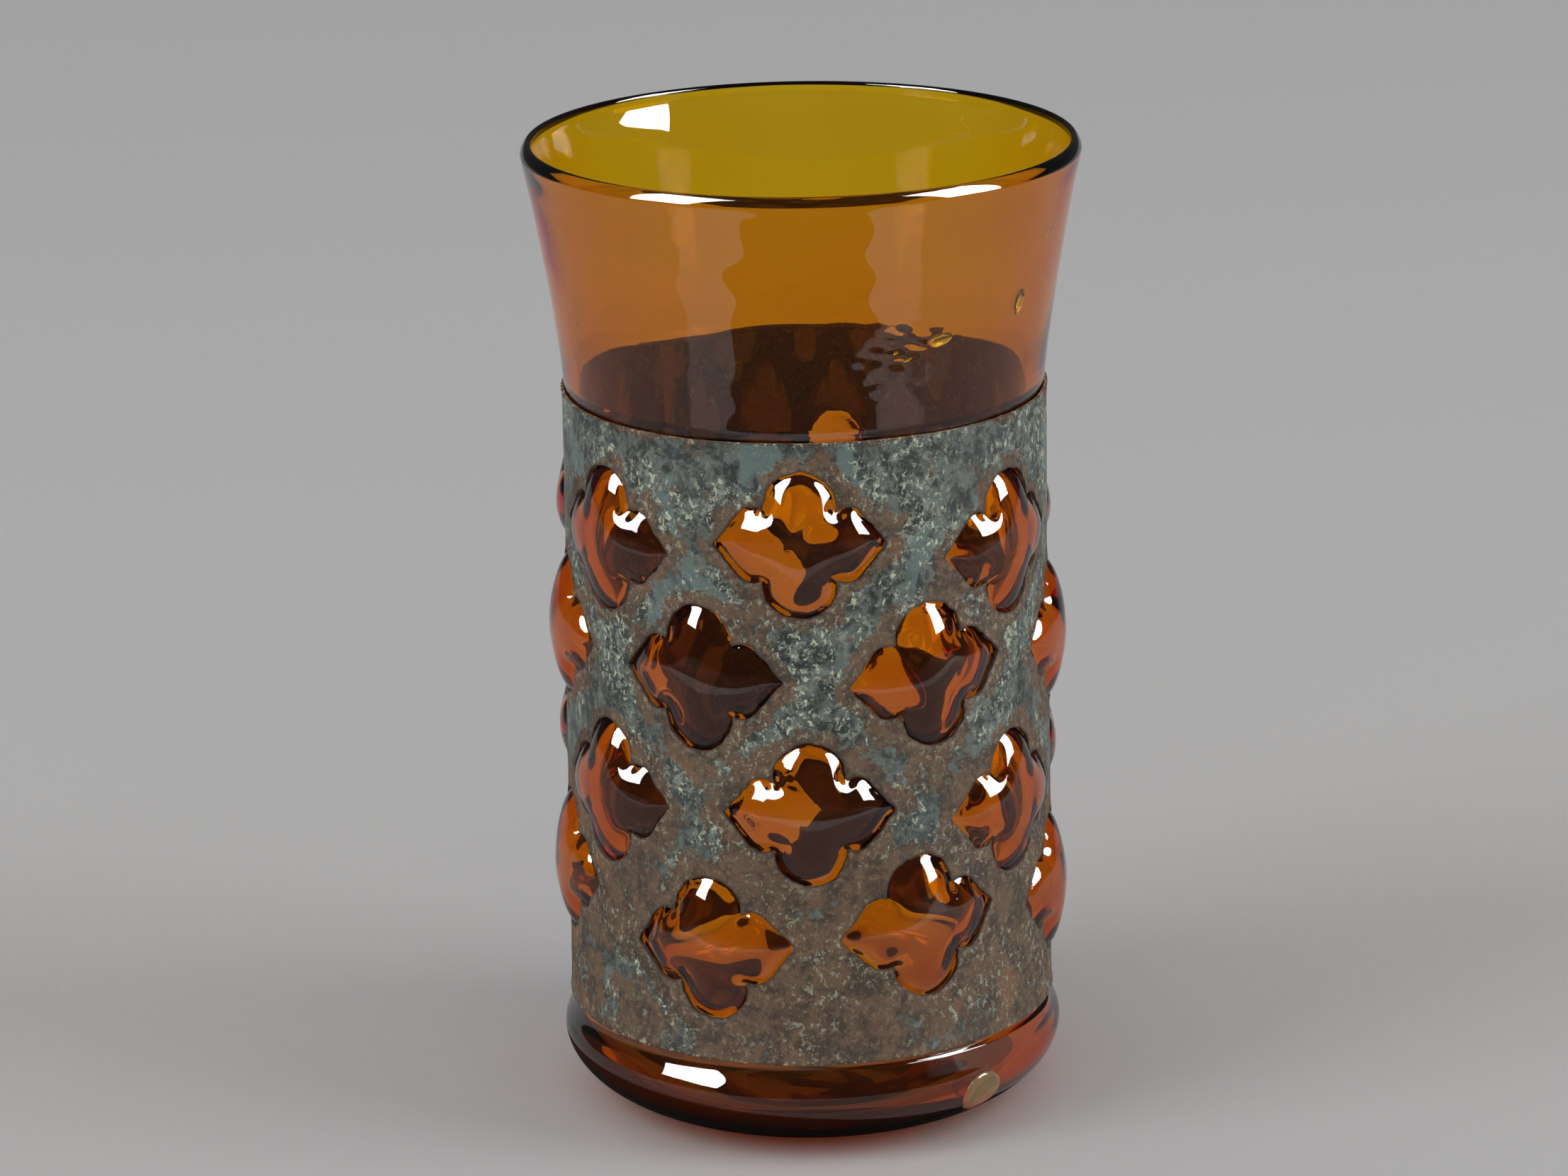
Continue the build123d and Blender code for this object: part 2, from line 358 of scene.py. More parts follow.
class Swelling:
    """How far the glass stands out where it was blown through one opening's outline."""

    STEP = 0.3 * MM
    MARGIN = 2.0 * MM
    BLUNT = 0.64  # power that makes the skin stand up steeply at its edge

    def __init__(self, outline, seed):
        self.low = outline.min(0) - self.MARGIN
        high = outline.max(0) + self.MARGIN
        self.counts = np.ceil((high - self.low) / self.STEP).astype(int) + 1
        u, z = (self.low[i] + np.arange(self.counts[i]) * self.STEP for i in (0, 1))
        grid = np.stack(np.meshgrid(u, z, indexing="ij"), -1).reshape(-1, 2)
        height = blown(without_edge(inside(grid, outline).reshape(self.counts)))
        # No two swell alike, and the hollow inside is softer than the outside.
        rng = np.random.default_rng(seed)
        full = SHEET + GLASS_GAP + SWELL
        rounded = softened(height, 4) ** self.BLUNT
        self.outer = softened(rounded / rounded.max(), 5) * full * rng.uniform(0.92, 1.02)
        self.inner = softened(height, 12) * full * rng.uniform(0.86, 0.98)

    def add_to(self, total, field, u, z):
        """Adds this swelling to total, an array over u (rows) and z (columns)."""
        # u is taken by whole turns to the side of the sleeve where this opening is.
        centre = self.low[0] + self.counts[0] * self.STEP / 2
        turned = (u - centre + ROUND / 2) % ROUND - ROUND / 2 + centre
        i = (turned - self.low[0]) / self.STEP
        j = (z - self.low[1]) / self.STEP
        rows = np.flatnonzero((i >= 0) & (i < self.counts[0] - 1))
        columns = np.flatnonzero((j >= 0) & (j < self.counts[1] - 1))
        i, j = i[rows][:, None], j[columns][None, :]
        i0, j0 = i.astype(int), j.astype(int)
        fi, fj = i - i0, j - j0
        total[np.ix_(rows, columns)] += (
            field[i0, j0] * (1 - fi) * (1 - fj) + field[i0 + 1, j0] * fi * (1 - fj)
            + field[i0, j0 + 1] * (1 - fi) * fj + field[i0 + 1, j0 + 1] * fi * fj
        )


SWELLINGS = [Swelling(outline, 300 + index) for index, outline in enumerate(OPENINGS)]


# --------------------------------------------------------------- glass vessel

COLUMNS = 560  # round the glass
AZIMUTHS = np.linspace(0, TURN, COLUMNS, endpoint=False)[:, None]
SHOULDER_AT = math.radians(44)  # where the base's shoulder is fullest
SHOULDER_HALF = math.radians(26)
SHOULDER_FADE = math.radians(17)
SHOULDER_SLOPE = 0.21
STREAKS_AT = (math.radians(24), 126.5 * MM)  # azimuth and height of the drawn-out ripples
STREAKS_SPREAD = (math.radians(9), 3.6 * MM)
BUBBLE_RINGS, BUBBLE_SIDES = 12, 24

# The blister and the seeds in the upper wall: azimuth in degrees, then height, then
# width, height and thickness in mm, then lean in radians
BLISTERS = (
    (32, 128.2, (4.6, 2.0, 0.9), 0.15),
    (24, 125.8, (1.6, 0.5, 0.35), 0.3),
    (21, 127.0, (1.1, 0.4, 0.3), 0.2),
    (56.4, 131.2, (2.6, 4.0, 0.8), -0.25),
    (65.2, 140.6, (0.5, 1.7, 0.35), 0.0),
    (67.6, 140.4, (0.7, 1.5, 0.4), 0.1),
    (-140, 136.0, (0.6, 1.6, 0.4), 0.1),
    (-97, 122.0, (0.9, 0.7, 0.4), 0.0),
    (118, 139.0, (0.5, 1.2, 0.3), -0.1),
)


def flare_radius(z):
    """Outer radius of the wall above the sleeve, a curve through the flare's middle."""
    low, high = SLEEVE_TOP + NECK_RISE, HEIGHT - LIP_DROP
    r0, r1, r2 = body_radius(SLEEVE_TOP) + NECK_STEP, FLARE_MIDDLE[0], RIM_RADIUS
    t1, t2 = FLARE_MIDDLE[1] - low, high - low
    bend = ((r2 - r0) / t2 - (r1 - r0) / t1) / (t2 - t1)
    slope = (r1 - r0) / t1 - bend * t1
    t = np.maximum(z - low, 0)
    return r0 + slope * t + bend * t * t


def arc(centre, radius, first, last, count):
    """Points of a section's arc between two angles over level, in degrees."""
    angles = np.radians(np.linspace(first, last, count))
    return np.stack([centre[0] + radius * np.cos(angles), centre[1] + radius * np.sin(angles)], -1)


def arc_centre(point, radius, angle):
    """Centre of the arc that leaves this point at the angle."""
    return point - radius * np.array([math.cos(math.radians(angle)), math.sin(math.radians(angle))])


def outer_lip():
    """The rim: rounded on top, then a broad slanting face down the outside, then a tight turn."""
    turn = arc((RIM_RADIUS - LIP_TURN, 0.0), LIP_TURN, TURN_TILT, -TURN_TILT, 5)
    face = arc(arc_centre(turn[0], LIP_FACE, TURN_TILT), LIP_FACE, FACE_TILT, TURN_TILT + 2, 8)
    top = arc(arc_centre(face[0], LIP_TOP, FACE_TILT), LIP_TOP, 90, FACE_TILT + 6, 5)
    points = np.vstack([top, face, turn])
    points[:, 1] += HEIGHT - points[0, 1]
    return points


def inner_lip():
    """From beside the rim's top, round to the inside."""
    top = outer_lip()[0]
    thick = LIP - (RIM_RADIUS - top[0])
    return arc((top[0], top[1] - thick), thick, 105, 180, 7)


def roll_points(start, end, thick, count):
    """Points from the wall down to the base's ellipse and round it, thick inside it."""
    wide, tall = BASE_RADIUS - FOOT_RADIUS - thick, BASE_WIDEST - thick
    t = np.linspace(0.1, 1, 12) ** 1.8  # closer together at the top
    radius = start[0] + (FOOT_RADIUS + wide - start[0]) * smooth_step(t)
    upper = np.stack([radius, start[1] + (BASE_WIDEST - start[1]) * t], -1)
    a = np.radians(np.linspace(86, end, count))
    lower = np.stack([FOOT_RADIUS + wide * np.sin(a), BASE_WIDEST - tall * np.cos(a)], -1)
    return np.vstack([upper, lower])


def outer_profile():
    """Radius and height down the outside, from the lip's top to under the foot."""
    lip = outer_lip()
    flare = np.linspace(lip[-1, 1], SLEEVE_TOP + NECK_RISE, 52)[1:]
    low = SLEEVE_BOTTOM - UNDERCUT
    body = np.linspace(SLEEVE_TOP, low, 226)
    foot = np.linspace(FOOT_RADIUS - 1 * MM, FOOT_INNER, 4)
    t = np.linspace(0.08, 0.97, 14)
    punt = np.stack([FOOT_INNER * (1 - t), PUNT_RISE * (1 - np.cos(math.pi * t)) / 2], -1)
    return np.vstack([
        lip,
        np.stack([flare_radius(flare), flare], -1),
        np.stack([body_radius(body), body], -1),
        roll_points((body_radius(low), low), 0, 0.0, 24),
        np.stack([foot, foot * 0], -1),
        punt,
    ])


def inner_profile():
    """Radius and height down the inside, from the lip to the middle of the floor."""
    top = HEIGHT - LIP / 2
    flare = np.linspace(top - 0.6 * MM, SLEEVE_TOP + NECK_RISE, 50)
    wall = WALL + (FLARE_WALL - WALL) * fade(flare, SLEEVE_TOP, FLARE_THINS)
    wall = wall + (LIP - FLARE_WALL) * fade(flare, top - 5 * MM, 4 * MM)
    low = SLEEVE_BOTTOM + INNER_RISE
    body = np.linspace(SLEEVE_TOP, low, 140)
    t = np.linspace(0.06, 0.96, 14)
    floor = PUNT_RISE * (1 - np.cos(math.pi * t)) / 2 + BASE_WALL
    return np.vstack([
        inner_lip(),
        np.stack([flare_radius(flare) - wall, flare], -1),
        np.stack([body_radius(body) - WALL, body], -1),
        roll_points((body_radius(low) - WALL, low), 2, BASE_WALL, 22),
        np.stack([FOOT_RADIUS * (1 - t), floor], -1),
    ])


def swellings(profile, side, held):
    """How far the wall stands out through the openings, for the rows that the sheet holds."""
    u = np.linspace(0, ROUND, COLUMNS, endpoint=False)
    z = np.where(held, profile[:, 1], -1)  # -1 is out of every opening's reach
    total = np.zeros((COLUMNS, len(profile)))
    for swelling in SWELLINGS:
        swelling.add_to(total, getattr(swelling, side), u, z)
    return total


def streaks(z):
    """Drawn-out ripples beside the blister in the upper wall."""
    across = (AZIMUTHS - STREAKS_AT[0]) / STREAKS_SPREAD[0]
    up = (z - STREAKS_AT[1]) / STREAKS_SPREAD[1]
    here = np.exp(-(across**2)) * np.exp(-(up**2))
    return here * ripple(AZIMUTHS, z, 17, (3.0 * MM, 6.0 * MM), upright=0.45)


def outer_relief(profile, swell):
    """Unevenness of the outside, nowhere that the sheet holds it or the foot stands."""
    reach, z = profile.T[:, None]
    free = fade(z, SLEEVE_TOP, 6 * MM) * fade(HEIGHT - z, 0, 3 * MM)
    rolled = fade(z, 0, 8 * MM) * (1 - fade(z, BASE_WIDEST, 4 * MM)) * (reach > FOOT_RADIUS)
    through = np.clip(swell / (1.5 * MM), 0, 1)
    slow = ripple(AZIMUTHS, z, 7, (16 * MM, 42 * MM), upright=1.2)
    quick = ripple(AZIMUTHS, z, 9, (6 * MM, 14 * MM))
    slow_depth = 0.03 * free + 0.06 * rolled  # all of these in mm
    quick_depth = 0.03 * through + 0.008 * free
    streak_depth = 0.11
    return (slow * slow_depth + quick * quick_depth + streaks(z) * streak_depth) * MM


def inner_relief(profile):
    """Unevenness of the inside, none at the lip or in the middle of the floor."""
    reach, z = profile.T[:, None]
    calm = fade(HEIGHT - z, 0, 3 * MM) * fade(reach, 8 * MM, 8 * MM)
    slow = ripple(AZIMUTHS, z, 8, (14 * MM, 40 * MM), upright=1.1)
    depth = 0.03 * MM
    return slow * calm * depth


def base_lean(profile):
    """How far the base's shoulder fills out under the sheet, on the front right."""
    reach, z = profile.T[:, None]
    off = (AZIMUTHS - SHOULDER_AT + math.pi) % TURN - math.pi
    side = 1 - fade(np.abs(off), SHOULDER_HALF, SHOULDER_FADE)
    full = BASE_RADIUS - SHOULDER_SLOPE * np.maximum(z - BASE_WIDEST, 0)
    shoulder = (z > BASE_WIDEST) & (z < SLEEVE_BOTTOM - UNDERCUT - 0.1 * MM)
    return side * shoulder * np.maximum(full - reach, 0)


def shell_faces(rows, split, under, floor):
    """Faces of the vessel's rings: down the outside, down the inside, joined at the lip."""
    faces = []
    for column in range(COLUMNS):
        here, beside = column * rows, (column + 1) % COLUMNS * rows
        for row in range(rows - 1):
            if row == split - 1:
                continue
            quad = (here + row, here + row + 1, beside + row + 1, beside + row)
            faces.append(quad if row < split else quad[::-1])
        faces.append((here, beside, beside + split, here + split))
        faces.append((here + split - 1, under, beside + split - 1))
        faces.append((beside + rows - 1, floor, here + rows - 1))
    return faces


def blister_points(azimuth, height, size, lean):
    """Points of a flattened bubble in the middle of the upper wall, ring by ring."""
    wall = flare_radius(height)
    slope = (flare_radius(height + MM) - flare_radius(height - MM)) / (2 * MM)
    middle = wall - (WALL + LIP) / 4
    up = (math.pi * np.arange(BUBBLE_RINGS + 1) / BUBBLE_RINGS)[:, None]
    turn = (TURN * np.arange(BUBBLE_SIDES) / BUBBLE_SIDES)[None, :]
    along = np.sin(up) * np.cos(turn) * size[0] / 2
    tall = np.cos(up) * size[1] / 2
    out = np.sin(up) * np.sin(turn) * size[2] / 2
    x = along * math.cos(lean) - tall * math.sin(lean)
    y = along * math.sin(lean) + tall * math.cos(lean)
    return on_cylinder(middle + out + slope * y, azimuth + x / wall, height + y).reshape(-1, 3)


def build_vessel():
    outer, inner = outer_profile(), inner_profile()
    reach, z = outer.T
    held = (z < SLEEVE_TOP + 1 * MM) & (z > BASE_WIDEST) & (reach > BOTTOM_RADIUS * 0.95)
    swell = swellings(outer, "outer", held)
    inner_swell = swellings(inner, "inner", inner[:, 1] > BASE_WIDEST)
    radius = np.hstack([
        outer[None, :, 0] + swell + outer_relief(outer, swell) + base_lean(outer),
        inner[None, :, 0] + inner_swell + inner_relief(inner),
    ])
    height = np.concatenate([outer[:, 1], inner[:, 1]])[None]
    points = list(on_cylinder(radius, AZIMUTHS, height).reshape(-1, 3))
    under, floor = len(points), len(points) + 1
    points += [(0, 0, PUNT_RISE), (0, 0, PUNT_RISE + BASE_WALL)]
    faces = shell_faces(len(outer) + len(inner), len(outer), under, floor)
    for azimuth, up, size, lean in BLISTERS:
        # wound so that the bubble's inside is outside the glass
        faces += ring_faces(len(points), BUBBLE_RINGS, BUBBLE_SIDES, inward=True)
        points += list(blister_points(math.radians(azimuth), up * MM, np.array(size) * MM, lean))
    return mesh_object("blown_glass", points, faces)


# ---------------------------------------------------------------- iron sleeve

SEAM = middle_azimuth(RIVETS_LOW, RIVETS_HIGH)
SEAM_START = (SEAM % TURN) * UNROLLED - LAP / 2
SEAM_END = SEAM_START + ROUND + LAP
BORDER_STEP = 0.6 * MM
SHEET_STEP = 0.85 * MM  # between the points within the sheet
WORN = 0.13 * MM  # how far its edges are rounded


def sheet_radius(u, z, near):
    """Outer radius of the sheet at the unrolled place (u, z), this near to an edge."""
    dents = ripple(u / UNROLLED, z, 21, (14 * MM, 60 * MM), upright=1.4) * 0.10 * MM
    lifted = 0.16 * MM * np.exp(-near / (0.9 * MM))
    lap = (SHEET + LAP_GAP) * fade(u, SEAM_START + ROUND - 4.5 * MM, 4.2 * MM)
    return sleeve_radius(z) - 0.05 * MM + dents + lifted + lap


def placed_outlines():
    """The openings' outlines with u counted from the seam's first edge."""
    placed = []
    for outline in OPENINGS:
        turns = math.floor((outline[:, 0].mean() - SEAM_START) / ROUND)
        placed.append(outline - (turns * ROUND, 0))
    return placed


def edge_tree(outlines):
    """For finding the point of the outlines that is nearest to a place."""
    points = np.vstack(outlines)
    tree = kdtree.KDTree(len(points))
    for index, (u, z) in enumerate(points):
        tree.insert((u, z, 0), index)
    tree.balance()
    return tree


def sheet_border():
    """The sheet's four edges, cut by hand shears, anticlockwise."""
    across = np.arange(SEAM_START, SEAM_END, BORDER_STEP)
    turn = across / UNROLLED
    rng = np.random.default_rng(5)
    nicks_above = rng.normal(0, 0.02 * MM, len(turn))
    nicks_below = rng.normal(0, 0.02 * MM, len(turn))
    top = SLEEVE_TOP + 0.10 * MM * np.sin(3 * turn + 1) - 0.13 * MM + nicks_above
    bottom = SLEEVE_BOTTOM + 0.12 * MM * np.sin(2 * turn) + 0.13 * MM + nicks_below
    up = np.arange(SLEEVE_BOTTOM + BORDER_STEP, SLEEVE_TOP - BORDER_STEP, BORDER_STEP)
    low_edge = np.stack([across, bottom], -1)
    high_edge = np.stack([across, top], -1)[::-1]
    right = np.stack([np.full(len(up), SEAM_END), up], -1)
    left = np.stack([np.full(len(up), SEAM_START), up], -1)[::-1]
    return np.vstack([low_edge, right, high_edge, left])


def scattered_points(outlines, tree):
    """Uneven grid of points within the sheet, clear of every edge."""
    step = SHEET_STEP
    rng = np.random.default_rng(3)
    u, z = np.meshgrid(
        np.arange(SEAM_START + step, SEAM_END - step / 2, step),
        np.arange(SLEEVE_BOTTOM + step, SLEEVE_TOP - step / 2, step),
    )
    grid = np.stack([u.ravel(), z.ravel()], -1) + rng.uniform(-0.2, 0.2, (u.size, 2)) * step
    grid = grid[~within_any(grid, outlines)]
    clear = np.array([tree.find((x, y, 0))[2] > 0.45 * step for x, y in grid])
    return grid[clear]


def flat_sheet():
    """Points and triangles of the unrolled sheet with its openings."""
    outlines = placed_outlines()
    border = sheet_border()
    tree = edge_tree([*outlines, border])
    points, edges = [], []
    for loop in (border, *outlines):
        start, count = len(points), len(loop)
        edges += [(start + i, start + (i + 1) % count) for i in range(count)]
        points += [Vector(p) for p in loop]
    points += [Vector(p) for p in scattered_points(outlines, tree)]
    flat, _, triangles, _, _, _ = delaunay_2d_cdt(points, edges, [], 0, 1e-7)
    flat = np.array([tuple(p) for p in flat])
    triangles = np.array([tuple(t) for t in triangles])
    middle = flat[triangles].mean(1)
    keep = inside(middle, border) & ~within_any(middle, outlines)
    return flat, triangles[keep], tree


def thickened(piece):
    """Mesh of the piece with the sheet's thickness and worn edges."""
    thick = piece.modifiers.new("thickness", "SOLIDIFY")
    thick.thickness = SHEET
    thick.offset = -1
    rounded = piece.modifiers.new("worn edges", "BEVEL")
    rounded.width = WORN
    rounded.segments = 2
    rounded.limit_method = "ANGLE"
    rounded.angle_limit = math.radians(50)
    rounded.use_clamp_overlap = True
    depsgraph = bpy.context.evaluated_depsgraph_get()
    mesh = bpy.data.meshes.new_from_object(piece.evaluated_get(depsgraph))
    mesh.shade_smooth()
    return mesh


def facing_in(vertex):
    """How far a point's normal turns towards the axis, 0 to 1."""
    out = vertex.normal.x * vertex.co.x + vertex.normal.y * vertex.co.y
    return min(max(0.5 - out / vertex.co.xy.length, 0), 1)


def describe_edges(mesh):
    """Stores which side each point is on, and how near it is to the edges, in mm."""
    made = vertex_array(mesh)
    z = made[:, 2]
    u = (azimuth_of(made[:, 0], made[:, 1]) * UNROLLED - SEAM_START) % ROUND + SEAM_START
    holes = edge_tree(placed_outlines())
    found = [holes.find((x, y, 0)) for x, y in zip(u, z)]
    distance = np.array([length for _, _, length in found])
    above = np.array([nearest.y for nearest, _, _ in found]) - z
    under = above / np.maximum(distance, 0.05 * MM) * np.exp(-distance / (0.45 * MM))
    border = np.minimum(SLEEVE_TOP - z, z - SLEEVE_BOTTOM)
    border = np.minimum(border, np.abs(u - SEAM_START - LAP))
    point_attribute(mesh, "inner_face", [facing_in(v) for v in mesh.vertices])
    point_attribute(mesh, "edge_distance", distance / MM)
    point_attribute(mesh, "under_edge", np.clip(under, 0, 1))
    point_attribute(mesh, "border_distance", border / MM)


def build_sleeve():
    flat, triangles, tree = flat_sheet()
    near = np.array([tree.find((x, y, 0))[2] for x, y in flat])
    radius = sheet_radius(flat[:, 0], flat[:, 1], near)
    points = on_cylinder(radius, flat[:, 0] / UNROLLED, flat[:, 1])
    piece = mesh_object("pierced_sleeve", points, triangles.tolist())
    mesh = thickened(piece)
    piece.modifiers.clear()
    piece.data = mesh
    describe_edges(mesh)
    return piece


# ---------------------------------------------------------------- other pieces

RIVET_COUNT = 5
RIVET_RADIUS = 1.5 * MM
RIVET_RISE = 0.72 * MM
RIVET_RINGS, RIVET_SIDES = 9, 28
DOT_ANGLE = math.radians(75)  # round the base's ellipse, from straight down
DOT_RADIUS = 3.7 * MM
DOT_THICKNESS = 0.5 * MM
DOT_EDGE = 0.12 * MM
DOT_GAP = 0.03 * MM
DOT_ROUND = 38 * MM  # the base's radius where the dot is
DOT_RINGS, DOT_SIDES = 14, 64


def rivet_points(centre, along, up, out, rng):
    """One domed head, a little uneven from the hammer, ring by ring from its top."""
    flat = rng.uniform(0.0, 0.25)
    lean = rng.uniform(-0.08, 0.08, 2)
    size, phase = rng.uniform(-0.05, 0.05, (2, 3))
    turns = [TURN * side / RIVET_SIDES for side in range(RIVET_SIDES)]
    points = []
    for ring in range(RIVET_RINGS):
        tilt = ring / (RIVET_RINGS - 1) * math.pi / 2
        reach = RIVET_RADIUS * math.sin(tilt) ** (1 - 0.4 * flat)
        rise = RIVET_RISE * math.cos(tilt) * (1 - flat * 0.3)
        for a in turns:
            grow = 1 + sum(size[k] * math.cos((k + 2) * a + phase[k] * 90) for k in range(3))
            x, y = reach * grow * math.cos(a), reach * grow * math.sin(a)
            points.append(centre + along * x + up * y + out * (rise + lean[0] * x + lean[1] * y))
    for a in turns:
        x, y = RIVET_RADIUS * 0.98 * math.cos(a), RIVET_RADIUS * 0.98 * math.sin(a)
        points.append(centre + along * x + up * y - out * 0.1 * MM)
    return points


def build_rivets():
    points, faces = [], []
    out = Vector((math.sin(SEAM), -math.cos(SEAM), 0))
    along = Vector((math.cos(SEAM), math.sin(SEAM), 0))
    up = Vector((0, 0, 1))
    rng = np.random.default_rng(11)
    for z in np.linspace(RIVETS_LOW.z + RIVET_RADIUS, RIVETS_HIGH.z - RIVET_RADIUS, RIVET_COUNT):
        centre = out * (sleeve_radius(z) + SHEET) + up * z
        faces += ring_faces(len(points), RIVET_RINGS, RIVET_SIDES)
        points += rivet_points(centre, along, up, out, rng)
        faces.append(tuple(reversed(range(len(points) - RIVET_SIDES, len(points)))))
    return mesh_object("rivet_heads", points, faces)


def base_surface(azimuth, angle):
    """Point and outward normal on the base, at an angle from straight down."""
    wide, tall = BASE_RADIUS - FOOT_RADIUS, BASE_WIDEST
    radius = FOOT_RADIUS + wide * math.sin(angle)
    height = tall - tall * math.cos(angle)
    out, down = tall * math.sin(angle), -wide * math.cos(angle)
    size = math.hypot(out, down)
    side = Vector((math.sin(azimuth), -math.cos(azimuth), 0))
    return side * radius + Vector((0, 0, height)), side * (out / size) + Vector((0, 0, down / size))


def dot_point(reach, turn, lift):
    """Place on the dot at this reach from its middle, lifted off the base's curve."""
    wide, tall = BASE_RADIUS - FOOT_RADIUS, BASE_WIDEST
    rate = math.hypot(wide * math.cos(DOT_ANGLE), tall * math.sin(DOT_ANGLE))
    azimuth = middle_azimuth(DOT_LOW, DOT_HIGH) + reach * math.cos(turn) / DOT_ROUND
    at, normal = base_surface(azimuth, DOT_ANGLE + reach * math.sin(turn) / rate)
    return at + normal * (lift + DOT_GAP)


def build_dot():
    """A thin soft disc that lies on the curve of the base."""
    turns = [TURN * side / DOT_SIDES for side in range(DOT_SIDES)]
    points = []
    for ring in range(1, DOT_RINGS + 1):
        t = ring / DOT_RINGS
        lift = DOT_THICKNESS * (1 - t**7) ** (1 / 3) * (0.92 + 0.08 * math.cos(3 * t))
        points += [dot_point(DOT_RADIUS * t, turn, max(lift, DOT_EDGE)) for turn in turns]
    points += [dot_point(DOT_RADIUS * 0.99, turn, 0.0) for turn in turns]
    top, back = len(points), len(points) + 1
    points += [dot_point(0, 0, DOT_THICKNESS), dot_point(0, 0, 0)]
    faces = ring_faces(0, DOT_RINGS, DOT_SIDES)
    last = DOT_RINGS * DOT_SIDES
    for side in range(DOT_SIDES):
        beside = (side + 1) % DOT_SIDES
        faces.append((top, side, beside))
        faces.append((back, last + beside, last + side))
    return mesh_object("clear_pad", points, faces)


# ------------------------------------------------------------------- materials

class Nodes:
    """A short way to build a node tree."""

    def __init__(self, tree):
        self.tree = tree

    def add(self, kind, **settings):
        node = self.tree.nodes.new("ShaderNode" + kind)
        for key, value in settings.items():
            setattr(node, key, value)
        return node

    def link(self, source, target):
        self.tree.links.new(source, target)

    def put(self, socket, value):
        """Links the value into the socket, or sets it there if it is plain."""
        if isinstance(value, bpy.types.NodeSocket):
            self.link(value, socket)
        else:
            socket.default_value = value

    def split(self, vector):
        node = self.add("SeparateXYZ")
        self.link(vector, node.inputs[0])
        return node.outputs

    def stretched(self, vector, scale):
        node = self.add("Mapping")
        self.link(vector, node.inputs["Vector"])
        node.inputs["Scale"].default_value = scale
        return node.outputs["Vector"]

    def noise(self, vector, scale, detail=4.0, rough=0.55, warp=0.0):
        node = self.add("TexNoise")
        self.link(vector, node.inputs["Vector"])
        node.inputs["Scale"].default_value = scale
        node.inputs["Detail"].default_value = detail
        node.inputs["Roughness"].default_value = rough
        node.inputs["Distortion"].default_value = warp
        return node.outputs["Fac"]

    def math(self, operation, a, b, clamp=False):
        node = self.add("Math", operation=operation, use_clamp=clamp)
        self.put(node.inputs[0], a)
        self.put(node.inputs[1], b)
        return node.outputs[0]

    def plus(self, a, b, clamp=False):
        return self.math("ADD", a, b, clamp)

    def times(self, a, b):
        return self.math("MULTIPLY", a, b)

    def between(self, value, low, high, to_low=0.0, to_high=1.0):
        """Goes smoothly from to_low to to_high as the value goes from low to high."""
        node = self.add("MapRange", interpolation_type="SMOOTHSTEP")
        self.put(node.inputs["Value"], value)
        node.inputs["From Min"].default_value = low
        node.inputs["From Max"].default_value = high
        node.inputs["To Min"].default_value = to_low
        node.inputs["To Max"].default_value = to_high
        return node.outputs["Result"]

    def mix(self, share, a, b):
        node = self.add("Mix", data_type="RGBA")
        self.put(node.inputs["Factor"], share)
        self.put(node.inputs["A"], a)
        self.put(node.inputs["B"], b)
        return node.outputs["Result"]

    def attribute(self, name):
        return self.add("Attribute", attribute_name=name).outputs["Fac"]


class Look(Nodes):
    """A material with one Principled shader."""

    def __init__(self, name):
        self.material = bpy.data.materials.new(name)
        self.material.use_nodes = True
        super().__init__(self.material.node_tree)

    def place(self):
        return self.add("TexCoord").outputs["Object"]

    def shade(self, name, value):
        """Sets or links one input of the shader."""
        self.put(self.tree.nodes["Principled BSDF"].inputs[name], value)


def rgb(red, green, blue):
    """A colour given as it looks on a screen, out of 255, as linear light."""
    levels = (level / 255 for level in (red, green, blue))
    linear = (c / 12.92 if c <= 0.04045 else ((c + 0.055) / 1.055) ** 2.4 for c in levels)
    return (*linear, 1.0)


AMBER = (0.986, 0.876, 0.0, 1)
AMBER_DENSITY = 2500  # per metre of glass
# Colour of the dark cut iron, and round the openings also of the painted shade where the glass meets the
# sheet
DARK_EDGE = rgb(44, 34, 28)


def amber_glass():
    n = Look("amber_glass_look")
    n.shade("Base Color", (1, 1, 1, 1))
    n.shade("Transmission Weight", 1.0)
    n.shade("Roughness", 0.0)
    n.shade("IOR", 1.5)
    tint = n.add("VolumeAbsorption")
    tint.inputs["Color"].default_value = AMBER
    tint.inputs["Density"].default_value = AMBER_DENSITY
    n.link(tint.outputs["Volume"], n.tree.nodes["Material Output"].inputs["Volume"])
    return n.material


def rust_amount(n, place, z, edge, border):
    """Where the sheet is brown: round the openings, and nearly all over towards the bottom."""
    total = n.between(edge, 0.4, 4.4, 0.50, 0.0)
    total = n.plus(total, n.between(z, 0.080, 0.026, 0.0, 0.54))
    total = n.plus(total, n.between(border, 0.0, 1.8, 0.24, 0.0))
    for scale, weight, detail in ((85, 1.7, 1), (230, 1.0, 4), (850, 1.1, 5)):
        cloud = n.math("SUBTRACT", n.noise(place, scale, detail, 0.6, 0.4), 0.5)
        total = n.plus(total, n.times(cloud, weight))
    return n.between(total, 0.18, 0.36)


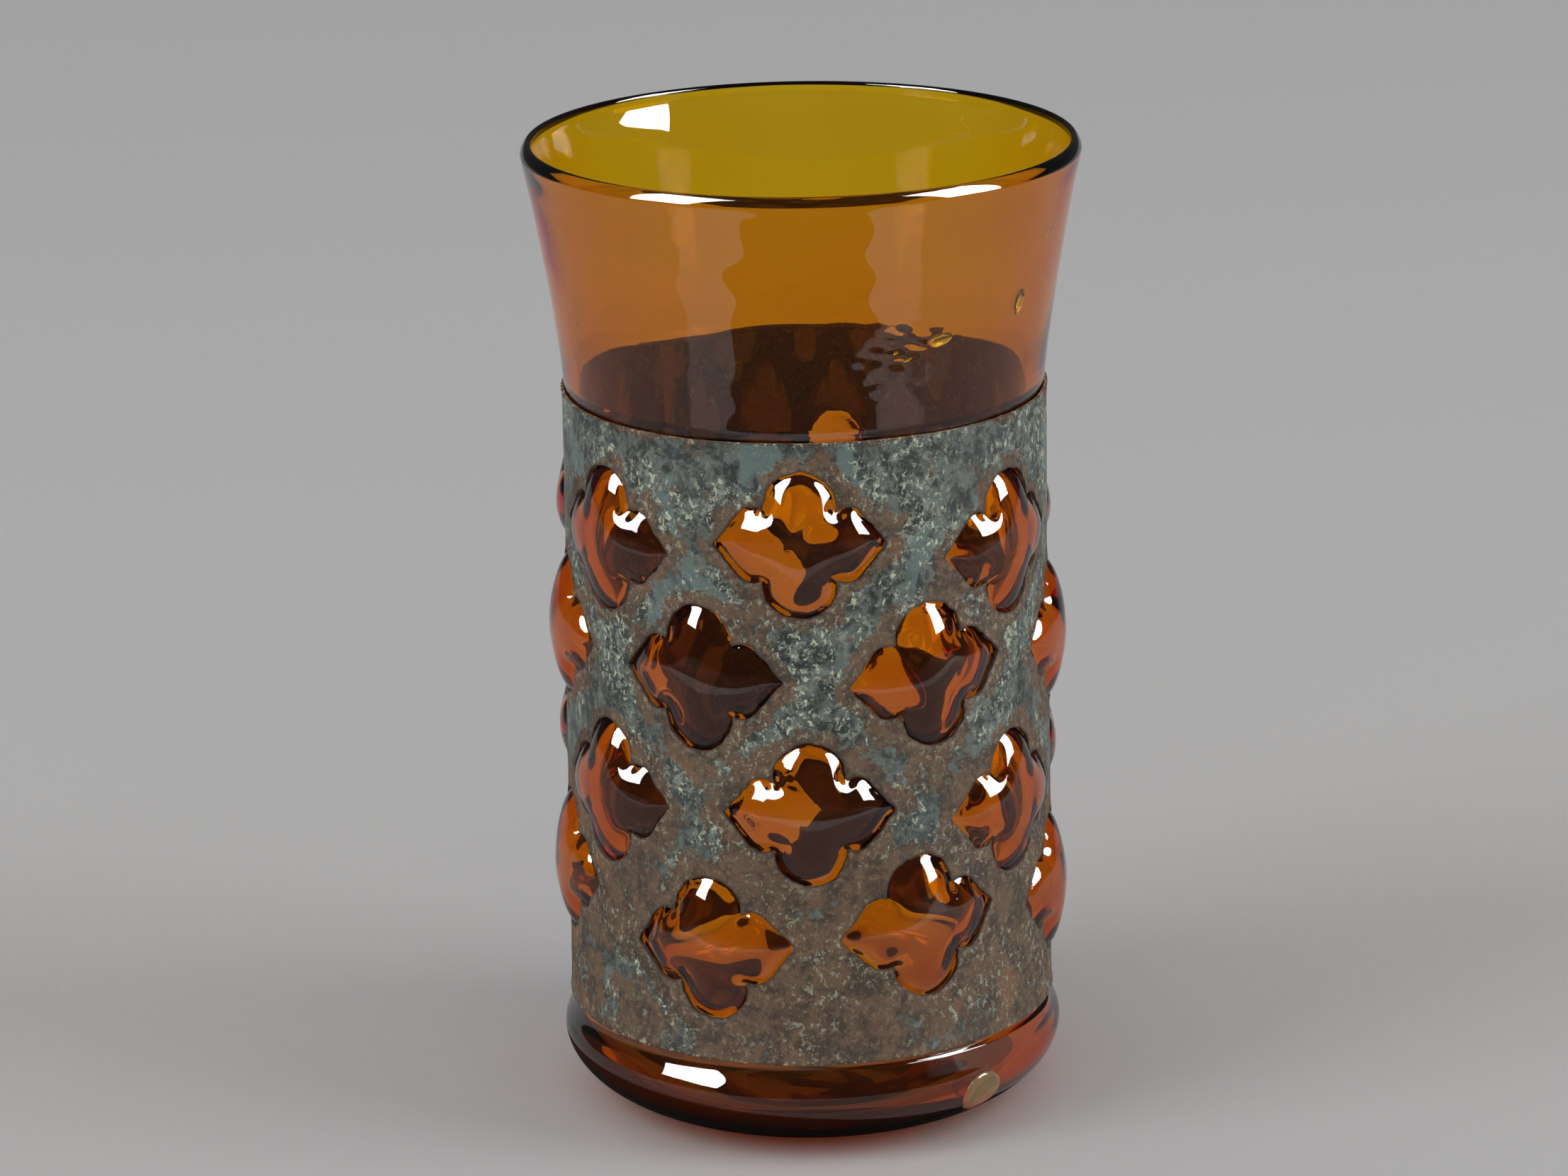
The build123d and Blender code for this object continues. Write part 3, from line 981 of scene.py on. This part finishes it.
def slate_colour(n, place, z, mottle, drift):
    """Blue-grey scale, mottled, with a pale film in drifts, dark patches and smooth teal smears."""
    colour = n.mix(n.between(mottle, 0.42, 0.58), rgb(45, 50, 48), rgb(90, 97, 91))
    film = n.between(n.noise(place, 780, 6, 0.72, 0.4), 0.51, 0.58)
    colour = n.mix(n.times(film, drift), colour, rgb(126, 134, 122))
    smear = n.between(n.noise(n.stretched(place, (1, 1, 0.5)), 115, 3, 0.55, 0.5), 0.56, 0.61, 0.0, 0.9)
    high_up = n.between(z, 0.070, 0.100, 0.25, 1.0)
    colour = n.mix(n.times(smear, high_up), colour, rgb(92, 108, 105))
    dark = n.between(n.noise(place, 150, 3, 0.6, 0.8), 0.60, 0.64, 0.0, 0.7)
    return n.mix(dark, colour, rgb(44, 54, 57))


def rust_colour(n, place, grain):
    """Brown, from dark crust to dusty tan, with a few orange places."""
    patch = n.noise(place, 230, 5, 0.68, 0.5)
    colour = n.mix(n.between(patch, 0.40, 0.60), rgb(60, 46, 34), rgb(92, 71, 52))
    colour = n.mix(n.between(grain, 0.52, 0.66, 0.0, 0.5), colour, rgb(130, 108, 80))
    pits = n.between(n.noise(place, 1500, 3, 0.7), 0.58, 0.64, 0.0, 0.6)
    colour = n.mix(pits, colour, rgb(44, 36, 30))
    warm = n.between(n.noise(place, 120, 4, 0.6), 0.58, 0.66, 0.0, 0.5)
    return n.mix(warm, colour, rgb(118, 80, 50))


def pale_flecks(n, place, rust, drift):
    """What is left of an older skin, thick in some drifts and rarer on the rust."""
    chips = n.noise(n.stretched(place, (1, 1, 0.8)), 1100, 5, 0.72, 0.5)
    in_drifts = n.between(drift, 0.1, 0.9, 0.15, 1.0)
    off_rust = n.between(rust, 0.1, 0.9, 1.0, 0.42)
    return n.times(n.between(chips, 0.565, 0.590), n.times(in_drifts, off_rust))


def edge_colours(n, colour, grain, edge, border):
    """Adds dark lines in the cut edges, round the openings partly the dark cut iron and partly painted
    shade where the glass meets the sheet; pale bare metal with a painted highlight on the openings' lower
    edges, which face up; and painted shade with dark scale on the inside face.
    """
    # Painted shade: a dark line round each opening's edge, partly the dark cut iron and partly the shade
    # where the glass meets the sheet
    colour = n.mix(n.between(edge, 0.0, 0.55, 0.8, 0.0), colour, DARK_EDGE)
    # Pale bare metal on the openings' lower edges, partly a painted highlight where these edges face up
    # into the light
    rubbed_and_highlit = n.times(n.attribute("under_edge"), n.between(grain, 0.42, 0.58))
    colour = n.mix(n.times(rubbed_and_highlit, 0.75), colour, rgb(168, 156, 136))
    colour = n.mix(n.between(border, 0.05, 0.40, 0.7, 0.0), colour, DARK_EDGE)
    speck = n.times(n.between(border, 0.0, 1.0, 1.0, 0.0), n.between(grain, 0.56, 0.62))
    colour = n.mix(n.times(speck, 0.7), colour, rgb(176, 166, 142))
    # Painted shade: the inside face, which lies against the glass, is darkened nearly to black, partly as
    # dark scale
    scale_and_shade_inside = n.between(n.attribute("inner_face"), 0.5, 0.9, 0.0, 0.9)
    return n.mix(scale_and_shade_inside, colour, rgb(24, 18, 14))


def rusted_iron():
    n = Look("rusted_iron_look")
    place = n.place()
    z = n.split(place)["Z"]
    edge = n.attribute("edge_distance")
    border = n.attribute("border_distance")
    grain = n.noise(place, 1100, 4, 0.7)
    mottle = n.noise(place, 330, 7, 0.74, 0.4)
    drift = n.between(n.noise(place, 95, 3, 0.6), 0.42, 0.58)
    rust = rust_amount(n, place, z, edge, border)
    fleck = pale_flecks(n, place, rust, drift)
    colour = n.mix(rust, slate_colour(n, place, z, mottle, drift), rust_colour(n, place, grain))
    colour = n.mix(fleck, colour, rgb(176, 182, 158))
    n.shade("Base Color", edge_colours(n, colour, grain, edge, border))
    n.shade("Specular IOR Level", 0.24)
    uneven = n.times(n.math("SUBTRACT", mottle, 0.5), 0.35)
    n.shade("Roughness", n.plus(n.between(rust, 0.0, 1.0, 0.44, 0.78), uneven, clamp=True))
    relief = n.plus(n.times(grain, 0.45), n.times(fleck, 0.5))
    relief = n.plus(relief, n.times(mottle, 0.8))
    relief = n.plus(relief, n.times(rust, 0.35))
    bump = n.add("Bump")
    bump.inputs["Strength"].default_value = 0.7
    bump.inputs["Distance"].default_value = 0.14 * MM
    n.link(relief, bump.inputs["Height"])
    n.shade("Normal", bump.outputs["Normal"])
    return n.material


def dark_rivet():
    n = Look("dark_rivet_look")
    worn = n.noise(n.place(), 700, 4, 0.6)
    n.shade("Base Color", n.mix(n.between(worn, 0.4, 0.65), rgb(52, 46, 42), rgb(104, 84, 68)))
    n.shade("Metallic", 0.5)
    n.shade("Roughness", n.between(worn, 0.3, 0.7, 0.38, 0.7))
    return n.material


def clear_pad():
    n = Look("clear_pad_look")
    haze = n.between(n.noise(n.place(), 900, 3, 0.6), 0.35, 0.65)
    n.shade("Base Color", n.mix(haze, rgb(226, 196, 140), rgb(240, 216, 168)))
    n.shade("Transmission Weight", 0.85)
    n.shade("Roughness", 0.12)
    n.shade("IOR", 1.45)
    return n.material


def paper(name, grey):
    n = Look(name)
    n.shade("Base Color", (grey, grey, grey, 1))
    n.shade("Roughness", 0.9)
    n.shade("Specular IOR Level", 0.1)
    return n.material


# -------------------------------------------------------- camera, floor, light

CAMERA_PLACE = (0, -0.8448, 0.3342)
CAMERA_PITCH = math.radians(16.70)
CAMERA_YAW = math.radians(-0.24)
CAMERA_ROLL = math.radians(-0.87)
FOCAL_LENGTH = 130.8  # this and the sensor in mm
SENSOR_WIDTH = 36

FLOOR_GREY = 0.30
FLOOR_REACH = 8
FLOOR_DROP = 0.05 * MM  # a breath of air under the foot
MIRRORED_RISE = 0.5 * MM  # of the planes that only reflections show
TABLE_EDGE = -0.22  # where the table ends in front of the glass
LIT_EDGE = 0.06  # width of its lit edge
SHADE_RADIUS = 42 * MM
SHADE_SHIFT = -8 * MM  # towards the left

AMBIENT = 0.98  # radiance of the even light from above
BEHIND_GLASS = (0.40, 0.41, 0.41, 1)  # the pale wall that shows through the glass
ROOM = 0.06  # radiance of the dim room in reflections
FILL = 4.5  # radiance of a softbox on matt surfaces
SHINE = 27.0  # and in reflections
FILL_DISTANCE = 2.6
SHINE_DISTANCE = 2.5  # nearer, so that neither lamp hides the other
SOFTBOXES = (  # name, azimuth and elevation in degrees, width and height
    ("softbox_left", -60, 37, (1.25, 1.9)),
    ("softbox_right", 74, 31, (1.25, 2.0)),
)


def make_camera():
    """A long lens from a little above, with a slight roll, as the photograph was taken."""
    data = bpy.data.cameras.new("camera")
    data.sensor_width = SENSOR_WIDTH
    data.lens = FOCAL_LENGTH
    data.clip_start = 0.05
    data.clip_end = 30
    level = math.cos(CAMERA_PITCH)
    ahead = Vector((math.sin(CAMERA_YAW) * level, math.cos(CAMERA_YAW) * level, -math.sin(CAMERA_PITCH)))
    right = Vector((math.cos(CAMERA_YAW), -math.sin(CAMERA_YAW), 0))
    up = right.cross(ahead)
    rolled_right = right * math.cos(CAMERA_ROLL) + up * math.sin(CAMERA_ROLL)
    rolled_up = up * math.cos(CAMERA_ROLL) - right * math.sin(CAMERA_ROLL)
    turn = Matrix((rolled_right, rolled_up, -ahead)).transposed().to_4x4()
    camera = bpy.data.objects.new("camera", data)
    camera.matrix_world = Matrix.Translation(CAMERA_PLACE) @ turn
    bpy.context.scene.collection.objects.link(camera)
    bpy.context.scene.camera = camera


def floor_strip(name, front, back, height, grey):
    """A level plane right across the stage, from its front edge to its back edge."""
    left, right = -FLOOR_REACH, FLOOR_REACH
    corners = [(left, front, height), (right, front, height), (right, back, height), (left, back, height)]
    strip = mesh_object(name, corners, [(0, 1, 2, 3)], smooth=False)
    strip.data.materials.append(paper(name, grey))
    return strip


def mirrored_strip(name, front, back, grey):
    """A strip of floor that only reflections show."""
    strip = floor_strip(name, front, back, MIRRORED_RISE, grey)
    strip.visible_camera = False
    strip.visible_diffuse = False
    strip.visible_transmission = False
    strip.visible_shadow = False
    return strip


def shade_under_foot():
    """The dim table under the glass, as it shows through the base and in reflections."""
    turns = np.linspace(0, TURN, 64, endpoint=False)
    x, y = SHADE_RADIUS * np.cos(turns) + SHADE_SHIFT, SHADE_RADIUS * np.sin(turns)
    points = np.stack([x, y, np.full(len(turns), -0.02 * MM)], -1)
    shade = mesh_object("foot_shade", points, [tuple(range(len(turns)))], smooth=False)
    shade.data.materials.append(paper("foot_shade", 0.02))
    shade.visible_camera = False
    shade.visible_diffuse = False
    shade.visible_shadow = False
    return shade


def make_stage():
    floor = floor_strip("floor", -FLOOR_REACH, FLOOR_REACH, -FLOOR_DROP, FLOOR_GREY)
    room = mirrored_strip("dark_room", -FLOOR_REACH, TABLE_EDGE, 0.06)
    lit = mirrored_strip("lit_edge", TABLE_EDGE, TABLE_EDGE + LIT_EDGE, 0.6)
    shade_under_foot()


def softbox(name, azimuth, elevation, distance, size, radiance):
    """A rectangular light that faces the glass, and gives this radiance."""
    light = bpy.data.lights.new(name, "AREA")
    light.shape = "RECTANGLE"
    light.size, light.size_y = size
    light.energy = radiance * math.pi * size[0] * size[1]
    a, e = math.radians(azimuth), math.radians(elevation)
    back = Vector((math.sin(a) * math.cos(e), -math.cos(a) * math.cos(e), math.sin(e)))
    lamp = bpy.data.objects.new(name, light)
    lamp.location = Vector((0, 0, HEIGHT / 2)) + back * distance
    lamp.rotation_mode = "QUATERNION"
    lamp.rotation_quaternion = back.to_track_quat("Z", "Y")
    lamp.visible_camera = False
    bpy.context.scene.collection.objects.link(lamp)
    return lamp


def make_world():
    """Even light for matt surfaces, a pale wall behind glass, a dim room in reflections."""
    world = bpy.data.worlds.new("room")
    world.use_nodes = True
    n = Nodes(world.node_tree)
    path = n.add("LightPath").outputs
    # The even light comes from above and rather from the front.
    towards = n.split(n.add("TexCoord").outputs["Generated"])
    rise = n.between(towards["Z"], 0.05, 0.65, 0.12 * AMBIENT, AMBIENT)
    front = n.math("SUBTRACT", 1.0, n.times(towards["Y"], 0.5))
    light = n.mix(path["Is Diffuse Ray"], BEHIND_GLASS, n.times(rise, front))
    # A ray through clear glass counts as glossy too, so only the reflected ones are dimmed.
    reflected = n.times(path["Is Glossy Ray"], path["Is Reflection Ray"])
    light = n.mix(reflected, light, (ROOM, ROOM, ROOM, 1))
    n.link(light, n.tree.nodes["Background"].inputs["Color"])
    bpy.context.scene.world = world


def make_light():
    for name, azimuth, elevation, size in SOFTBOXES:
        glow = softbox(name, azimuth, elevation, FILL_DISTANCE, size, FILL)
        glow.visible_glossy = False
        shine = softbox(name + "_shine", azimuth, elevation, SHINE_DISTANCE, size, SHINE)
        shine.visible_diffuse = False
        shine.visible_transmission = False
    make_world()
    bpy.context.scene.view_settings.view_transform = "Standard"
    # Light is reflected many times within the wall of the flare.
    cycles = bpy.context.scene.cycles
    cycles.max_bounces = 24
    cycles.glossy_bounces = 16
    cycles.transmission_bounces = 24


def finish_piece(piece, material, slot, *nodes):
    piece.data.materials.clear()
    piece.data.materials.append(material)
    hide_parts(*nodes)
    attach(piece, "root")


make_camera()
make_stage()
make_light()
finish_piece(build_vessel(), amber_glass(), "amber_glass", "glass_vessel")
finish_piece(build_sleeve(), rusted_iron(), "rusted_iron", "iron_sleeve")
finish_piece(build_rivets(), dark_rivet(), "dark_rivet", "seam_rivets")
finish_piece(build_dot(), clear_pad(), "clear_pad", "clear_dot")
